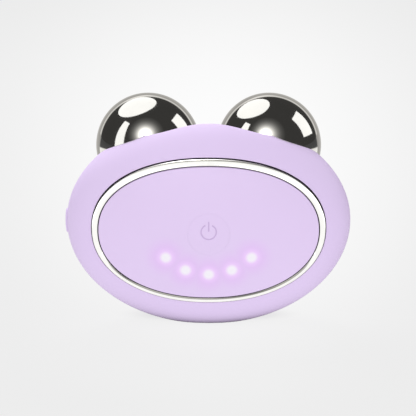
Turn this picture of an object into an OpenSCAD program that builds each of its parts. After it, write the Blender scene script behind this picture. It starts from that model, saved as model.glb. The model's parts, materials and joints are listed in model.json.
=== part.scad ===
// Facial toning device: an oval body that carries two treatment spheres in its top edge, with a
// ringed face plate, a power button, five indicator lights and a side key.
// X runs across the body, Y from the face to the back, Z up. The origin is the middle of the
// charging socket's mouth, in the standing flat.

/* [Body] */
// Width of the body, left to right
body_w = 94.4; // [90:0.2:102]
// Height of the body's oval, before the standing flat is cut
body_h = 69.8; // [68:0.2:76]
// Depth of the body, face to back
body_d = 40; // [38:0.5:44]
// Thickness of the silicone sleeve over the body
sleeve_t = 0.9; // [0.7:0.05:1.1]
// Thickness of the housing walls under the sleeve
wall = 1.4; // [1.2:0.1:1.6]
// Depth cut off the bottom for the standing flat
base_flat = 0.5; // [0.4:0.1:0.8]
// Thickness of the seal between the two housings
seam = 0.5; // [0.4:0.1:0.8]
// How far the seal stays inside both faces of the housing wall
seam_inset = 0.15; // [0.1:0.05:0.3]

/* [Spheres] */
// Diameter of each treatment sphere
ball_d = 35; // [34:0.2:35.6]
// Distance between the two sphere centres
ball_pitch = 40.6; // [39.8:0.2:42]
// Distance of the sphere centres behind the middle of the body
ball_back = 11.5; // [11:0.5:13]
// Height of the sphere centres above the middle of the body
ball_up = 23.2; // [22.4:0.1:24]
// Wall thickness of the hollow spheres
ball_wall = 1.2; // [0.8:0.1:1.6]
// Space round each sphere in its cup, which the gasket fills
ball_gap = 0.9; // [0.7:0.1:1.2]
// Thickness of the gasket round each sphere
gasket_t = 0.7; // [0.5:0.05:0.8]
// Radius of the hollow between the spheres, at the middle of the body
saddle_r = 15.2; // [14:0.1:15.6]
// Distance of that hollow's centre behind the middle of the body
saddle_back = 9.5; // [9:0.1:10.5]
// Height of that hollow's centre above the middle of the body
saddle_up = 38; // [37:0.1:39]
// Height of the hollow's two ends above the sphere centres
saddle_end_up = 2.1; // [1:0.1:3]
// How much narrower than a cup the hollow's two ends are
saddle_end_inset = 0.3; // [0.2:0.1:0.8]

/* [Face] */
// Width of the body beside the trim ring
side_margin = 8.9; // [7.6:0.1:10]
// Height of the body above and below the trim ring
top_margin = 10.8; // [10:0.1:11.4]
// Width of the ring's band
ring_band = 2.1; // [1.6:0.1:2.6]
// How far the ring stands proud of the body
ring_proud = 0.35; // [0.2:0.05:0.6]
// How deep the ring sits in the body
ring_depth = 1.8; // [1.6:0.05:1.85]
// Fullness of the oval: 2 is an ellipse, more is squarer
oval_power = 2.15; // [2:0.02:2.4]
// Thickness of the face plate
plate_t = 1.6; // [1.4:0.1:1.7]
// Thickness of the carrier behind the face plate
carrier_t = 1.25; // [1:0.05:1.6]
// Width of the ledge that the carrier rests on
ledge_w = 3; // [2.4:0.1:3.2]
// Thickness of that ledge
ledge_t = 1.4; // [1.2:0.1:1.8]

/* [Power button] */
// Diameter of the button cap
button_d = 13.6; // [12:0.1:15]
// Play round the button cap
button_play = 0.15; // [0.1:0.05:0.3]
// Depth of the dish at the middle of the cap
dish_depth = 0.9; // [0.7:0.05:1]
// Rise of the dish from its middle to its edge
dish_rise = 0.6; // [0.4:0.05:0.8]
// How far the button travels when it is pressed
button_travel = 0.35; // [0.2:0.05:0.45]
// Radius of the power symbol's ring
icon_r = 2.7; // [2:0.1:3.2]
// Line width of the power symbol
icon_line = 0.4; // [0.3:0.05:0.6]
// Depth of the power symbol
icon_depth = 0.15; // [0.1:0.05:0.2]
// Diameter of the plunger behind the cap
plunger_d = 3; // [2.6:0.1:3.6]

/* [Indicator lights] */
// Number of lights
light_count = 5; // [3:1:5]
// Angle between neighbouring lights
light_step = 22.3; // [20:0.1:24]
// Radius of the arc that they lie on
light_arc_r = 19.8; // [19:0.1:21]
// Height of the lowest light above the ring's lower edge
light_inset = 9.6; // [9:0.1:10.4]
// Diameter of each light pipe
pipe_d = 3.2; // [2.8:0.1:3.6]

/* [Side key] */
// Length of the key, up the body's edge
key_l = 8.2; // [7:0.1:9]
// Width of the key, front to back
key_w = 3.4; // [3:0.1:4]
// How far the key stands proud
key_proud = 0.5; // [0.45:0.05:0.8]
// How far the key travels when it is pressed
key_travel = 0.35; // [0.2:0.05:0.4]
// Play round the key
key_play = 0.15; // [0.1:0.05:0.25]

/* [Inside] */
// Space between the side screws' middles and the main board
board_clear = 3.5; // [3.4:0.1:5]
// Height of the main board
board_h = 38; // [37:0.5:40]
// Thickness of the boards
board_t = 1.2; // [1:0.1:1.6]
// Depth of the main board's face behind the front of the body
board_depth = 9; // [8.8:0.1:9.4]
// Width of the battery
cell_w = 30; // [26:0.5:30]
// Height of the battery
cell_h = 20; // [18:0.5:20]
// Thickness of the battery
cell_t = 6; // [5:0.1:6]
// Distance of the battery behind the middle of the body
cell_back = 2.5; // [2.4:0.1:3]
// Height of the battery's top edge below the middle of the body
cell_drop = 2; // [1.5:0.1:2.5]
// Wall thickness of the battery tray
tray_t = 0.8; // [0.6:0.05:0.9]
// Diameter of the pulsation motor
motor_d = 6; // [5:0.1:6.2]
// Length of the pulsation motor's can
motor_l = 12; // [10:0.5:12]
// Distance of the motor's shaft behind the middle of the body
motor_back = 9.5; // [9:0.1:10]
// Height of the motor's shaft above the middle of the body
motor_up = 2; // [1.8:0.1:2.4]
// Radius of the motor's eccentric weight
weight_r = 2.8; // [2.2:0.1:3]
// Bore of the charging socket
jack_d = 3.6; // [3:0.1:3.6]
// Depth of the charging socket's bore
jack_l = 9; // [8:0.1:9.5]
// Diameter of the wires
wire_d = 0.9; // [0.7:0.05:1.1]

/* [Fasteners] */
// Shank diameter of the housing screws
screw_d = 1.9; // [1.7:0.1:2.1]
// Shank length of the housing screws
screw_l = 9.4; // [8:0.1:10]
// Distance of the side screws inside the ring's outer edge
screw_inset = 6.8; // [6.6:0.1:7.6]
// Height of the lower screws above the ring's lower edge
screw_rise = 8.7; // [8.4:0.1:9.2]
// Diameter of the posts that take the housing screws
post_d = 4.4; // [4:0.1:4.6]
// Diameter of the studs that hold the spheres
stud_d = 2.5; // [2:0.1:2.6]

/* [Hidden] */
$fn = 96;

// Half sizes of the body's oval, and its middle's height above the standing flat
half_w = body_w / 2;
half_h = body_h / 2;
half_d = body_d / 2;
mid_z = half_h - base_flat;
// Outer width and height of the trim ring
ring_w = body_w - 2 * side_margin;
ring_h = body_h - 2 * top_margin;
// Small working sizes
cut = 1;            // how far a cutter runs past what it cuts
far = body_w;       // longer than anything in the part
fit = 0.05;         // gap between pieces that are glued or clamped
slip = 0.06;        // radial play of a pin that slides in its bore
oval_points = 96;   // points round an oval outline
skin_points = 128;  // fineness of the body's skin

// Depths below the body's skin: housing, cavity, carrier, ledge and the cavity behind the ledge
shell_top = sleeve_t + fit;
inner = shell_top + wall;
carrier_top = ring_depth + 0.1;
carrier_under = carrier_top + carrier_t;
ledge_top = carrier_under + fit;
ledge_under = ledge_top + ledge_t;

// Spheres and their cups
ball_r = ball_d / 2;
cup_r = ball_r + ball_gap;
ball_x = ball_pitch / 2;
saddle_end_r = cup_r - saddle_end_inset;
saddle_end = [ball_x, ball_back, ball_up + saddle_end_up];
saddle_mid = [0, saddle_back, saddle_up];

// Levels along Y, all at the middle of the face
board_front = -half_d + board_depth;
board_back = board_front + board_t;
cap_under = carrier_top - button_travel - 0.1;
collar_front = -half_d + carrier_under + 0.2;
collar_t = 0.7;
switch_size = 6;
switch_h = 3;
switch_floor = 0.5;    // thickness under a switch's bore
plunger_tip = board_front - switch_h - button_travel - 0.35;
stem_end = board_front - switch_floor - button_travel - 0.15;
led_size = 2;
led_h = 0.9;

// Housing screws: places [x, z], the plane under their heads and the faces they clamp
tray_play = 0.15;
tray_half_w = cell_w / 2 + tray_play + tray_t;
side_screw_x = ring_w / 2 - screw_inset;
low_screw = [tray_half_w + post_d / 2 + 0.35, screw_rise - ring_h / 2];
screw_spots = [
  [side_screw_x, 1], [-side_screw_x, 1], [low_screw[0], low_screw[1]], [-low_screw[0], low_screw[1]],
];
seat_y = board_front - 0.3;
head_h = 1.2;
head_d = screw_d + 1.7;
boss_end = board_back - 0.3;
post_front = boss_end + fit;
screw_end = seat_y + screw_l;

// Main board's width, and its screws: places [x, z]
board_w = 2 * (side_screw_x - board_clear);
board_screw_x = board_w / 2 - 6;
board_screw_rows = [board_h / 2 - 10, 13 - board_h / 2];
board_spots = [for (z = board_screw_rows, side = [1, -1]) [side * board_screw_x, z]];
board_screw_d = 1.6;
board_boss_d = 4;
board_screw_tip = board_front - 2.4;

// Battery stack along Y
cell_front = cell_back;
cell_rear = cell_back + cell_t;
pad_t = 0.8;
rib_front = cell_rear + pad_t;
tray_front = cell_front - tray_play - tray_t;
tray_bottom = -cell_drop - cell_h - tray_play - tray_t;
rib_x = 11;
rib_t = 1.2;

// Sphere fastening, from the cup's underside down
stud_top = 9;
pad_z = ball_up - cup_r - inner - 1;
tab_t = 0.5;
nut_h = 2;
nut_flats = stud_d * 2;
tab_reach = 6;

// Charging socket: its shoulder inside the bottom wall
jack_wall = 0.5;
nose_d = jack_d + 2 * jack_wall;
shoulder_z = -half_h + inner + 1.15;
socket_top = -mid_z + jack_l + 1;
socket_w = 8;
socket_deep = 6.8;

// Left face of the body's oval, shrunk by g, at the place y, z
function side_skin(y, z, g) =
  -(half_w - g) * sqrt(1 - pow(y / (half_d - g), 2) - pow(z / (half_h - g), 2));

// Side key: levels along X
key_flange = 0.6;
key_flange_t = 0.9;
flange_x = side_skin(key_w / 2 + key_flange, key_l / 2 + key_flange, inner) + 0.15;
key_end_x = flange_x + key_flange_t;
side_board_x = -half_w + 8.6;
side_board_w = 9;
side_board_h = 10;
side_switch_h = 2;
side_switch_size = 3.5;
side_stem_tip = side_board_x - side_switch_h - key_travel - 0.35;
side_stem_end = side_board_x - switch_floor - key_travel - 0.15;

// Pulsation motor: levels along X
boot_t = 0.8;
boot_l = 8;
motor_left = -8;
motor_right = motor_left + motor_l;
boot_left = motor_left + (motor_l - boot_l) / 2;
shaft_d = 1;
weight_l = 3.4;
weight_left = motor_right + 0.6;
shaft_right = weight_left + weight_l + 0.4;

// Front face of the body's oval, shrunk by g, at the place x, z
function skin(x, z, g) =
  -(half_d - g) * sqrt(1 - pow(x / (half_w - g), 2) - pow(z / (half_h - g), 2));

// Front end of the plunger, where its rim meets the underside of the cap
plunger_front = skin(0, plunger_d / 2, cap_under);

// Outline of an oval of half sizes a and b
function oval(a, b) = [
  for (i = [0 : oval_points - 1])
    let (t = 360 * i / oval_points, c = cos(t), s = sin(t))
      [a * sign(c) * pow(abs(c), 2 / oval_power), b * sign(s) * pow(abs(s), 2 / oval_power)]
];

// Place of light number i, from the left
light_arc_up = light_arc_r + light_inset - ring_h / 2;
function light_spot(i) =
  let (t = (i - (light_count - 1) / 2) * light_step)
    [light_arc_r * sin(t), light_arc_up - light_arc_r * cos(t)];

// Lifts a shape drawn round the body's middle to its place over the standing flat
module at_middle() {
  translate([0, 0, mid_z]) children();
}

// The body's oval, shrunk by g
module egg(g) {
  scale([half_w - g, half_d - g, half_h - g]) sphere(r = 1, $fn = skin_points);
}

// A cylinder along Y at the place x, z
module rod_y(spot, d, y1, y2) {
  translate([spot[0], y1, spot[1]]) rotate([-90, 0, 0]) cylinder(d = d, h = y2 - y1);
}

// A cylinder along X on the motor's shaft line
module rod_x(x1, x2, d) {
  translate([x1, motor_back, motor_up]) rotate([0, 90, 0]) cylinder(d = d, h = x2 - x1);
}

// A block from one corner to the other
module block(low, high) {
  translate(low) cube(high - low);
}

// The face's oval outline, grown by g, as a bar in front of the body's middle
module face_bar(g) {
  rotate([90, 0, 0]) linear_extrude(far / 2) polygon(oval(ring_w / 2 + g, ring_h / 2 + g));
}

// One half of the hollow between the spheres: a cone from the body's middle to one cup
module saddle_half(side, g) {
  run = saddle_end - saddle_mid;
  reach = norm(run);
  back = 6;
  grow = (saddle_end_r - saddle_r) / reach;
  mirror([side < 0 ? 1 : 0, 0, 0])
    translate(saddle_mid) rotate([0, acos(run[2] / reach), atan2(run[1], run[0])])
      translate([0, 0, -back])
        cylinder(r1 = saddle_r - grow * back + g, r2 = saddle_end_r + g, h = reach + back);
}

// The body's outside, shrunk by g: the oval less the two cups, the hollow and the standing flat
module body_form(g) {
  difference() {
    egg(g);
    for (side = [-1, 1]) {
      translate([side * ball_x, ball_back, ball_up]) sphere(r = cup_r + g);
      saddle_half(side, g);
    }
    translate([-far / 2, -far / 2, -far - mid_z + (g > 0 ? g : 0)]) cube(far);
  }
}

// The space in front of, or behind, the seam
module front_space() {
  translate([-far, -2 * far - seam / 2, -far]) cube(2 * far);
}

module rear_space() {
  translate([-far, seam / 2, -far]) cube(2 * far);
}

// A round-ended bar along X at the side key's place, grown by g
module key_bar(x1, x2, g) {
  r = key_w / 2 + g;
  straight = key_l / 2 - key_w / 2;
  translate([x1, 0, 0]) rotate([0, 90, 0]) linear_extrude(x2 - x1) {
    translate([-straight, -r]) square([2 * straight, 2 * r]);
    for (end = [-1, 1]) translate([end * straight, 0]) circle(r = r);
  }
}

// Holes that both housings and the seal share: the side key's slot and the socket's hole
module shared_holes() {
  key_bar(-half_w - cut, flange_x + cut, key_play);
  translate([0, 0, -half_h - cut]) cylinder(d = nose_d + 4 * fit, h = cut + inner + 2);
}

module silicone_sleeve() {
  color([0.84, 0.77, 0.92]) at_middle() difference() {
    body_form(0);
    body_form(sleeve_t);
    face_bar(2 * fit);
    shared_holes();
    for (side = [-1, 1]) translate([side * ball_x, ball_back, 0]) cylinder(d = stud_d + 0.4, h = ball_up);
  }
}

module front_housing() {
  color([0.90, 0.88, 0.92]) at_middle() difference() {
    intersection() {
      difference() {
        body_form(shell_top);
        difference() {
          body_form(inner);
          difference() {
            face_bar(wall);
            egg(ledge_under);
          }
        }
      }
      front_space();
    }
    difference() {
      face_bar(2 * fit);
      egg(ledge_top);
    }
    face_bar(-ledge_w);
    shared_holes();
  }
}

module rear_housing() {
  color([0.90, 0.88, 0.92]) at_middle() difference() {
    union() {
      difference() {
        intersection() {
          body_form(shell_top);
          rear_space();
        }
        body_form(inner);
      }
      intersection() {
        egg(shell_top + wall / 2);
        union() {
          for (spot = screw_spots) rod_y(spot, post_d, post_front, half_d);
          for (side = [-1, 1])
            block([side * rib_x - rib_t / 2, rib_front, -cell_drop - cell_h],
              [side * rib_x + rib_t / 2, half_d, -cell_drop]);
          block([side_board_x + board_t, 1, -4], [side_board_x + board_t + 1.8, half_d, 4]);
          for (side = [-1, 1]) translate([side * ball_x, ball_back, pad_z]) cylinder(r = 4.2, h = 4);
          block([boot_left, motor_back, -cell_drop + 0.2],
            [boot_left + boot_l, half_d, motor_up + motor_d / 2 + 1.4]);
        }
      }
    }
    for (side = [-1, 1]) {
      translate([side * ball_x, ball_back, ball_up]) sphere(r = cup_r + shell_top);
      translate([side * ball_x, ball_back, pad_z - cut]) cylinder(d = stud_d + 0.4, h = 8);
    }
    rod_x(boot_left - cut, boot_left + boot_l + cut, motor_d + 2 * boot_t + 2 * fit);
    for (spot = screw_spots) rod_y(spot, screw_d + 0.04, post_front - cut, screw_end + 0.5);
    shared_holes();
  }
}

module housing_seal() {
  color([0.62, 0.56, 0.70]) at_middle() intersection() {
    difference() {
      body_form(shell_top + seam_inset);
      body_form(inner - seam_inset);
      shared_holes();
    }
    translate([-far, -seam / 2, -far]) cube([2 * far, seam, 2 * far]);
  }
}

module trim_ring() {
  color([0.95, 0.95, 0.97]) at_middle() difference() {
    intersection() {
      egg(-ring_proud);
      face_bar(0);
    }
    egg(ring_depth);
    face_bar(-ring_band);
  }
}

module face_plate() {
  color([0.87, 0.79, 0.95]) at_middle() difference() {
    intersection() {
      egg(0);
      face_bar(-ring_band - fit);
    }
    egg(plate_t);
    rod_y([0, 0], button_d + 2 * button_play, -half_d - cut, 0);
  }
}

module face_carrier() {
  color([0.30, 0.30, 0.32]) at_middle() difference() {
    union() {
      difference() {
        intersection() {
          egg(carrier_top);
          face_bar(0);
        }
        egg(carrier_under);
      }
      intersection() {
        egg(carrier_top);
        union() {
          for (spot = screw_spots) rod_y(spot, post_d + 0.4, -half_d, boss_end);
          for (spot = board_spots) rod_y(spot, board_boss_d, -half_d, board_front);
        }
      }
    }
    for (spot = screw_spots) {
      rod_y(spot, screw_d + 0.4, -half_d, boss_end + cut);
      rod_y(spot, head_d + 0.2, -half_d, seat_y);
    }
    for (spot = board_spots) rod_y(spot, board_screw_d + 0.04, board_screw_tip - 0.2, board_front + cut);
    for (i = [0 : light_count - 1]) rod_y(light_spot(i), pipe_d + 0.3, -half_d, 0);
    rod_y([0, 0], plunger_d + 2 * slip, -half_d, 0);
  }
}

// The ring with a gap on top, and the bar in the gap
module power_icon(y1, y2) {
  translate([0, y2, 0]) rotate([90, 0, 0]) {
    rotate([0, 0, 90 + 38]) rotate_extrude(angle = 360 - 2 * 38)
      translate([icon_r - icon_line / 2, 0]) square([icon_line, y2 - y1]);
    translate([-icon_line / 2, 0.5, 0]) cube([icon_line, icon_r + 0.1, y2 - y1]);
  }
}

module power_button() {
  dish_r = pow(button_d / 2, 2) / (2 * dish_rise);
  dish_y = -half_d + dish_depth;
  color([0.86, 0.78, 0.94]) at_middle() difference() {
    intersection() {
      egg(0);
      rod_y([0, 0], button_d, -half_d - cut, 0);
    }
    egg(cap_under);
    translate([0, dish_y - dish_r, 0]) sphere(r = dish_r, $fn = 4 * skin_points);
    power_icon(-half_d, dish_y + icon_depth);
  }
}

module power_plunger() {
  color([0.75, 0.70, 0.80]) at_middle() {
    rod_y([0, 0], plunger_d, plunger_front, plunger_tip);
    rod_y([0, 0], plunger_d + 1.8, collar_front, collar_front + collar_t);
  }
}

module power_switch_stem() {
  color("gold") at_middle() rod_y([0, 0], 2, plunger_tip, stem_end);
}

module power_switch() {
  color([0.15, 0.15, 0.16]) at_middle() difference() {
    block([-switch_size / 2, board_front - switch_h, -switch_size / 2],
      [switch_size / 2, board_front, switch_size / 2]);
    rod_y([0, 0], 2 + 2 * slip, board_front - switch_h - cut, board_front - switch_floor);
  }
}

module light_guide() {
  bar_front = skin(0, light_spot((light_count - 1) / 2)[1], carrier_under) + 0.3;
  span = (light_count - 1) * light_step;
  color([0.95, 0.95, 1.0]) at_middle() {
    for (i = [0 : light_count - 1]) intersection() {
      rod_y(light_spot(i), pipe_d, -half_d, board_front - led_h - fit);
      egg(plate_t + 2 * fit);
    }
    translate([0, bar_front + 0.8, light_arc_up]) rotate([90, 0, 0])
      rotate([0, 0, 270 - span / 2]) rotate_extrude(angle = span)
        translate([light_arc_r - 0.8, 0]) square([1.6, 0.8]);
  }
}

module indicator_leds() {
  color([1.0, 0.98, 0.9]) at_middle() for (i = [0 : light_count - 1]) {
    spot = light_spot(i);
    block([spot[0] - led_size / 2, board_front - led_h, spot[1] - led_size / 2],
      [spot[0] + led_size / 2, board_front, spot[1] + led_size / 2]);
  }
}

module main_board() {
  color([0.10, 0.38, 0.22]) at_middle() difference() {
    translate([0, board_back, 0]) rotate([90, 0, 0])
      linear_extrude(board_t) scale([board_w / 2, board_h / 2]) circle(r = 1);
    for (spot = screw_spots) rod_y(spot, post_d + 1.2, board_front - cut, board_back + cut);
    for (spot = board_spots) rod_y(spot, board_screw_d + 0.4, board_front - cut, board_back + cut);
  }
}

// A chip or box on the back of the main board
module on_board(spot, size, h) {
  block([spot[0] - size[0] / 2, board_back, spot[1] - size[1] / 2],
    [spot[0] + size[0] / 2, board_back + h, spot[1] + size[1] / 2]);
}

module microcontroller() {
  color([0.12, 0.12, 0.13]) at_middle() on_board([1, -6], [7, 7], 1.4);
}

module boost_coil() {
  color([0.72, 0.45, 0.20]) at_middle() {
    rod_y([11.5, -5], 6.4, board_back, board_back + 0.8);
    rod_y([11.5, -5], 5.2, board_back + 0.8, board_back + 3.7);
    rod_y([11.5, -5], 6.4, board_back + 3.7, board_back + 4.5);
  }
}

module output_capacitors() {
  color([0.65, 0.55, 0.35]) at_middle()
    for (z = [6, 10.5]) on_board([11, z], [5, 3], 2.2);
}

module motor_can() {
  color([0.72, 0.72, 0.75]) at_middle() difference() {
    rod_x(motor_left, motor_right, motor_d);
    rod_x(motor_left + 2, motor_right + cut, shaft_d + 2 * slip);
  }
}

module motor_shaft() {
  color([0.60, 0.60, 0.63]) at_middle() rod_x(motor_left + 2.2, shaft_right, shaft_d);
}

// A half disc with a full hub, so that the motor shakes as it turns
module eccentric_weight() {
  color([0.50, 0.50, 0.48]) at_middle() difference() {
    union() {
      rod_x(weight_left, weight_left + weight_l, shaft_d + 1.4);
      intersection() {
        rod_x(weight_left, weight_left + weight_l, 2 * weight_r);
        block([weight_left - cut, motor_back - weight_r, motor_up - weight_r - cut],
          [weight_left + weight_l + cut, motor_back + weight_r, motor_up]);
      }
    }
    rod_x(weight_left - cut, weight_left + weight_l + cut, shaft_d + 0.04);
  }
}

module motor_boot() {
  color([0.16, 0.16, 0.17]) at_middle() difference() {
    rod_x(boot_left, boot_left + boot_l, motor_d + 2 * boot_t);
    rod_x(boot_left - cut, boot_left + boot_l + cut, motor_d + 2 * 0.02);
  }
}

module battery_connector() {
  color([0.95, 0.93, 0.88]) at_middle() on_board([0, lead_up], [7, 4.4], 3);
}

module battery_cell() {
  color([0.72, 0.74, 0.78]) at_middle()
    block([-cell_w / 2, cell_front, -cell_drop - cell_h], [cell_w / 2, cell_rear, -cell_drop]);
}

module battery_pad() {
  color([0.20, 0.20, 0.22]) at_middle()
    block([-cell_w / 2 + 2, cell_rear, -cell_drop - cell_h + 1],
      [cell_w / 2 - 2, rib_front, -cell_drop - 1]);
}

module battery_tray() {
  ear = screw_spots[2];
  color([0.85, 0.85, 0.82]) at_middle() difference() {
    union() {
      block([-tray_half_w, tray_front, tray_bottom], [tray_half_w, cell_rear, -cell_drop]);
      for (side = [-1, 1]) rod_y([side * ear[0], ear[1]], post_d + 2.4, tray_front, tray_front + 1.6);
    }
    block([-cell_w / 2 - tray_play, cell_front - tray_play, -cell_drop - cell_h - tray_play],
      [cell_w / 2 + tray_play, cell_rear + cut, -cell_drop + cut]);
    for (side = [-1, 1]) rod_y([side * ear[0], ear[1]], post_d + 2 * fit, tray_front - cut, cell_rear + cut);
  }
}

// A hollow sphere with a threaded sleeve inside it for its stud
module sphere_shell(side) {
  color([0.30, 0.29, 0.31]) at_middle() translate([side * ball_x, ball_back, ball_up]) difference() {
    union() {
      difference() {
        sphere(r = ball_r);
        sphere(r = ball_r - ball_wall);
      }
      translate([0, 0, -ball_r + ball_wall / 2]) cylinder(d = stud_d + 3, h = stud_top);
    }
    translate([0, 0, -ball_r - cut]) cylinder(d = stud_d + 0.04, h = stud_top + 2 * cut);
  }
}

module left_sphere() {
  sphere_shell(-1);
}

module right_sphere() {
  sphere_shell(1);
}

// The insulating skin between a sphere and its cup, flush with the body
module sphere_gasket(side) {
  outer_r = cup_r - fit;
  color([0.70, 0.68, 0.66]) at_middle() difference() {
    intersection() {
      translate([side * ball_x, ball_back, ball_up]) sphere(r = outer_r);
      egg(fit);
    }
    translate([side * ball_x, ball_back, ball_up]) sphere(r = outer_r - gasket_t);
    translate([side * ball_x, ball_back, 0]) cylinder(d = stud_d + 0.4, h = ball_up);
    saddle_half(side, -fit);
    saddle_half(-side, -fit);
  }
}

module left_sphere_gasket() {
  sphere_gasket(-1);
}

module right_sphere_gasket() {
  sphere_gasket(1);
}

module sphere_studs() {
  bottom = pad_z - tab_t - nut_h - 1.2;
  color([0.75, 0.75, 0.77]) at_middle() for (side = [-1, 1])
    translate([side * ball_x, ball_back, bottom])
      cylinder(d = stud_d, h = ball_up - ball_r + stud_top - 1 - bottom);
}

module sphere_nuts() {
  color([0.70, 0.70, 0.72]) at_middle() for (side = [-1, 1])
    translate([side * ball_x, ball_back, pad_z - tab_t - nut_h]) difference() {
      cylinder(d = nut_flats / cos(30), h = nut_h, $fn = 6);
      translate([0, 0, -cut]) cylinder(d = stud_d + 0.04, h = nut_h + 2 * cut);
    }
}

module contact_tabs() {
  color([0.85, 0.70, 0.35]) at_middle() for (side = [-1, 1])
    translate([side * ball_x, ball_back, pad_z - tab_t]) difference() {
      union() {
        cylinder(d = stud_d + 3.4, h = tab_t);
        translate([-1, -tab_reach, 0]) cube([2, tab_reach, tab_t]);
      }
      translate([0, 0, -cut]) cylinder(d = stud_d + 0.2, h = tab_t + 2 * cut);
    }
}

module charge_socket() {
  color([0.12, 0.12, 0.13]) at_middle() difference() {
    union() {
      translate([0, 0, -mid_z]) cylinder(d = nose_d, h = socket_top + mid_z);
      block([-socket_w / 2, -socket_deep / 2, shoulder_z], [socket_w / 2, socket_deep / 2, socket_top]);
    }
    translate([0, 0, -mid_z - cut]) cylinder(d = jack_d, h = jack_l + cut);
  }
}

module socket_seal() {
  color([0.25, 0.25, 0.27]) at_middle() translate([0, 0, shoulder_z - 0.55]) difference() {
    cylinder(d = nose_d + 1.6, h = 0.5);
    translate([0, 0, -cut]) cylinder(d = nose_d + 2 * fit, h = 1 + 2 * cut);
  }
}

module side_key() {
  color([0.84, 0.77, 0.92]) at_middle() union() {
    intersection() {
      key_bar(-half_w - 2, flange_x + key_flange_t / 2, 0);
      egg(-key_proud);
    }
    key_bar(flange_x, key_end_x, key_flange);
  }
}

module side_plunger() {
  color([0.75, 0.70, 0.80]) at_middle()
    translate([key_end_x, 0, 0]) rotate([0, 90, 0]) cylinder(d = 2.6, h = side_stem_tip - key_end_x);
}

module side_switch_stem() {
  color("gold") at_middle()
    translate([side_stem_tip, 0, 0]) rotate([0, 90, 0]) cylinder(d = 1.4, h = side_stem_end - side_stem_tip);
}

module side_switch() {
  half = side_switch_size / 2;
  color([0.15, 0.15, 0.16]) at_middle() difference() {
    block([side_board_x - side_switch_h, -half, -half], [side_board_x, half, half]);
    translate([side_board_x - side_switch_h - cut, 0, 0]) rotate([0, 90, 0])
      cylinder(d = 1.4 + 2 * slip, h = side_switch_h + cut - switch_floor);
  }
}

module side_board() {
  color([0.10, 0.38, 0.22]) at_middle() block([side_board_x, -side_board_w / 2, -side_board_h / 2],
    [side_board_x + board_t, side_board_w / 2, side_board_h / 2]);
}

module housing_screws() {
  color([0.60, 0.60, 0.62]) at_middle() for (spot = screw_spots) difference() {
    union() {
      rod_y(spot, head_d, seat_y - head_h, seat_y);
      rod_y(spot, screw_d, seat_y - head_h / 2, screw_end);
    }
    translate([spot[0], seat_y - head_h - cut, spot[1]]) rotate([-90, 0, 0])
      cylinder(d = 1.5, h = cut + head_h / 2, $fn = 6);
  }
}

module board_screws() {
  color([0.60, 0.60, 0.62]) at_middle() for (spot = board_spots) {
    rod_y(spot, board_screw_d + 1.4, board_back, board_back + 0.9);
    rod_y(spot, board_screw_d, board_screw_tip, board_back + 0.45);
  }
}

// A wire along the points of its route: a tube with flat ends, square to the route
wire_sides = 8;
function unit(v) = v / norm(v);
function heading(path, i) =
  i == 0 ? unit(path[1] - path[0])
  : i == len(path) - 1 ? unit(path[i] - path[i - 1])
  : unit(unit(path[i] - path[i - 1]) + unit(path[i + 1] - path[i]));
function carried(path, i) =
  i == 0 ? unit(cross(heading(path, 0), [0.31, 0.17, 0.94]))
  : let (t = heading(path, i), before = carried(path, i - 1)) unit(before - (before * t) * t);
module wire(path) {
  count = len(path);
  rings = [
    for (i = [0 : count - 1])
      let (t = heading(path, i), u = carried(path, i), v = cross(t, u))
        for (k = [0 : wire_sides - 1])
          let (turn = 360 * k / wire_sides)
            path[i] + wire_d / 2 * (cos(turn) * u + sin(turn) * v)
  ];
  walls = [
    for (i = [0 : count - 2], k = [0 : wire_sides - 1])
      let (a = i * wire_sides + k, b = i * wire_sides + (k + 1) % wire_sides)
        [a, a + wire_sides, b + wire_sides, b]
  ];
  start = [for (k = [0 : wire_sides - 1]) k];
  finish = [for (k = [wire_sides - 1 : -1 : 0]) (count - 1) * wire_sides + k];
  polyhedron(rings, concat(walls, [start, finish]));
}

// A smooth route: three points on each turn of a path given by its corners
function eased(path) = [
  path[0],
  for (i = [1 : len(path) - 2])
    for (t = [0.15, 0.5, 0.85])
      let (a = (path[i - 1] + path[i]) / 2, b = (path[i] + path[i + 1]) / 2)
        pow(1 - t, 2) * a + 2 * t * (1 - t) * path[i] + t * t * b,
  path[len(path) - 1],
];

// Height of the battery's plug, where the battery and motor leads meet the board
lead_up = 5;

module battery_leads() {
  color([0.75, 0.15, 0.15]) at_middle() for (x = [-1.6, 1.6])
    wire(eased([[x, cell_front + 2.5, -cell_drop], [x, cell_front + 2.5, lead_up - 2.5],
      [x, cell_front - 3, lead_up], [x, board_back + 5, lead_up], [x, board_back + 3, lead_up]]));
}

module sphere_leads() {
  tab_end = [ball_x, ball_back - tab_reach, pad_z - tab_t / 2];
  end_x = ball_x - 3.3;
  color([0.85, 0.85, 0.30]) at_middle() for (side = [-1, 1]) mirror([side < 0 ? 1 : 0, 0, 0])
    wire(eased([tab_end, tab_end - [0, 3, 0], [end_x + 1, 0, -0.5], [end_x, board_back + 6, 0],
      [end_x, board_back + 2, 0], [end_x, board_back, 0]]));
}

module charge_leads() {
  end_z = socket_top + 7;
  color([0.20, 0.20, 0.70]) at_middle() for (x = [-1.6, 1.6])
    wire(eased([[x, -1.5, socket_top], [x, -1.5, socket_top + 2.5], [x, -4, end_z],
      [x, board_back + 2, end_z], [x, board_back, end_z]]));
}

module motor_leads() {
  end_x = motor_left - 5.5;
  color([0.80, 0.45, 0.10]) at_middle() for (z = [-0.9, 0.9])
    wire(eased([[motor_left, motor_back, motor_up + z], [motor_left - 2.5, motor_back, motor_up + z],
      [end_x + 1, 2, lead_up - 1 + z], [end_x, board_back + 5, lead_up + z],
      [end_x, board_back + 2, lead_up + z], [end_x, board_back, lead_up + z]]));
}

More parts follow.
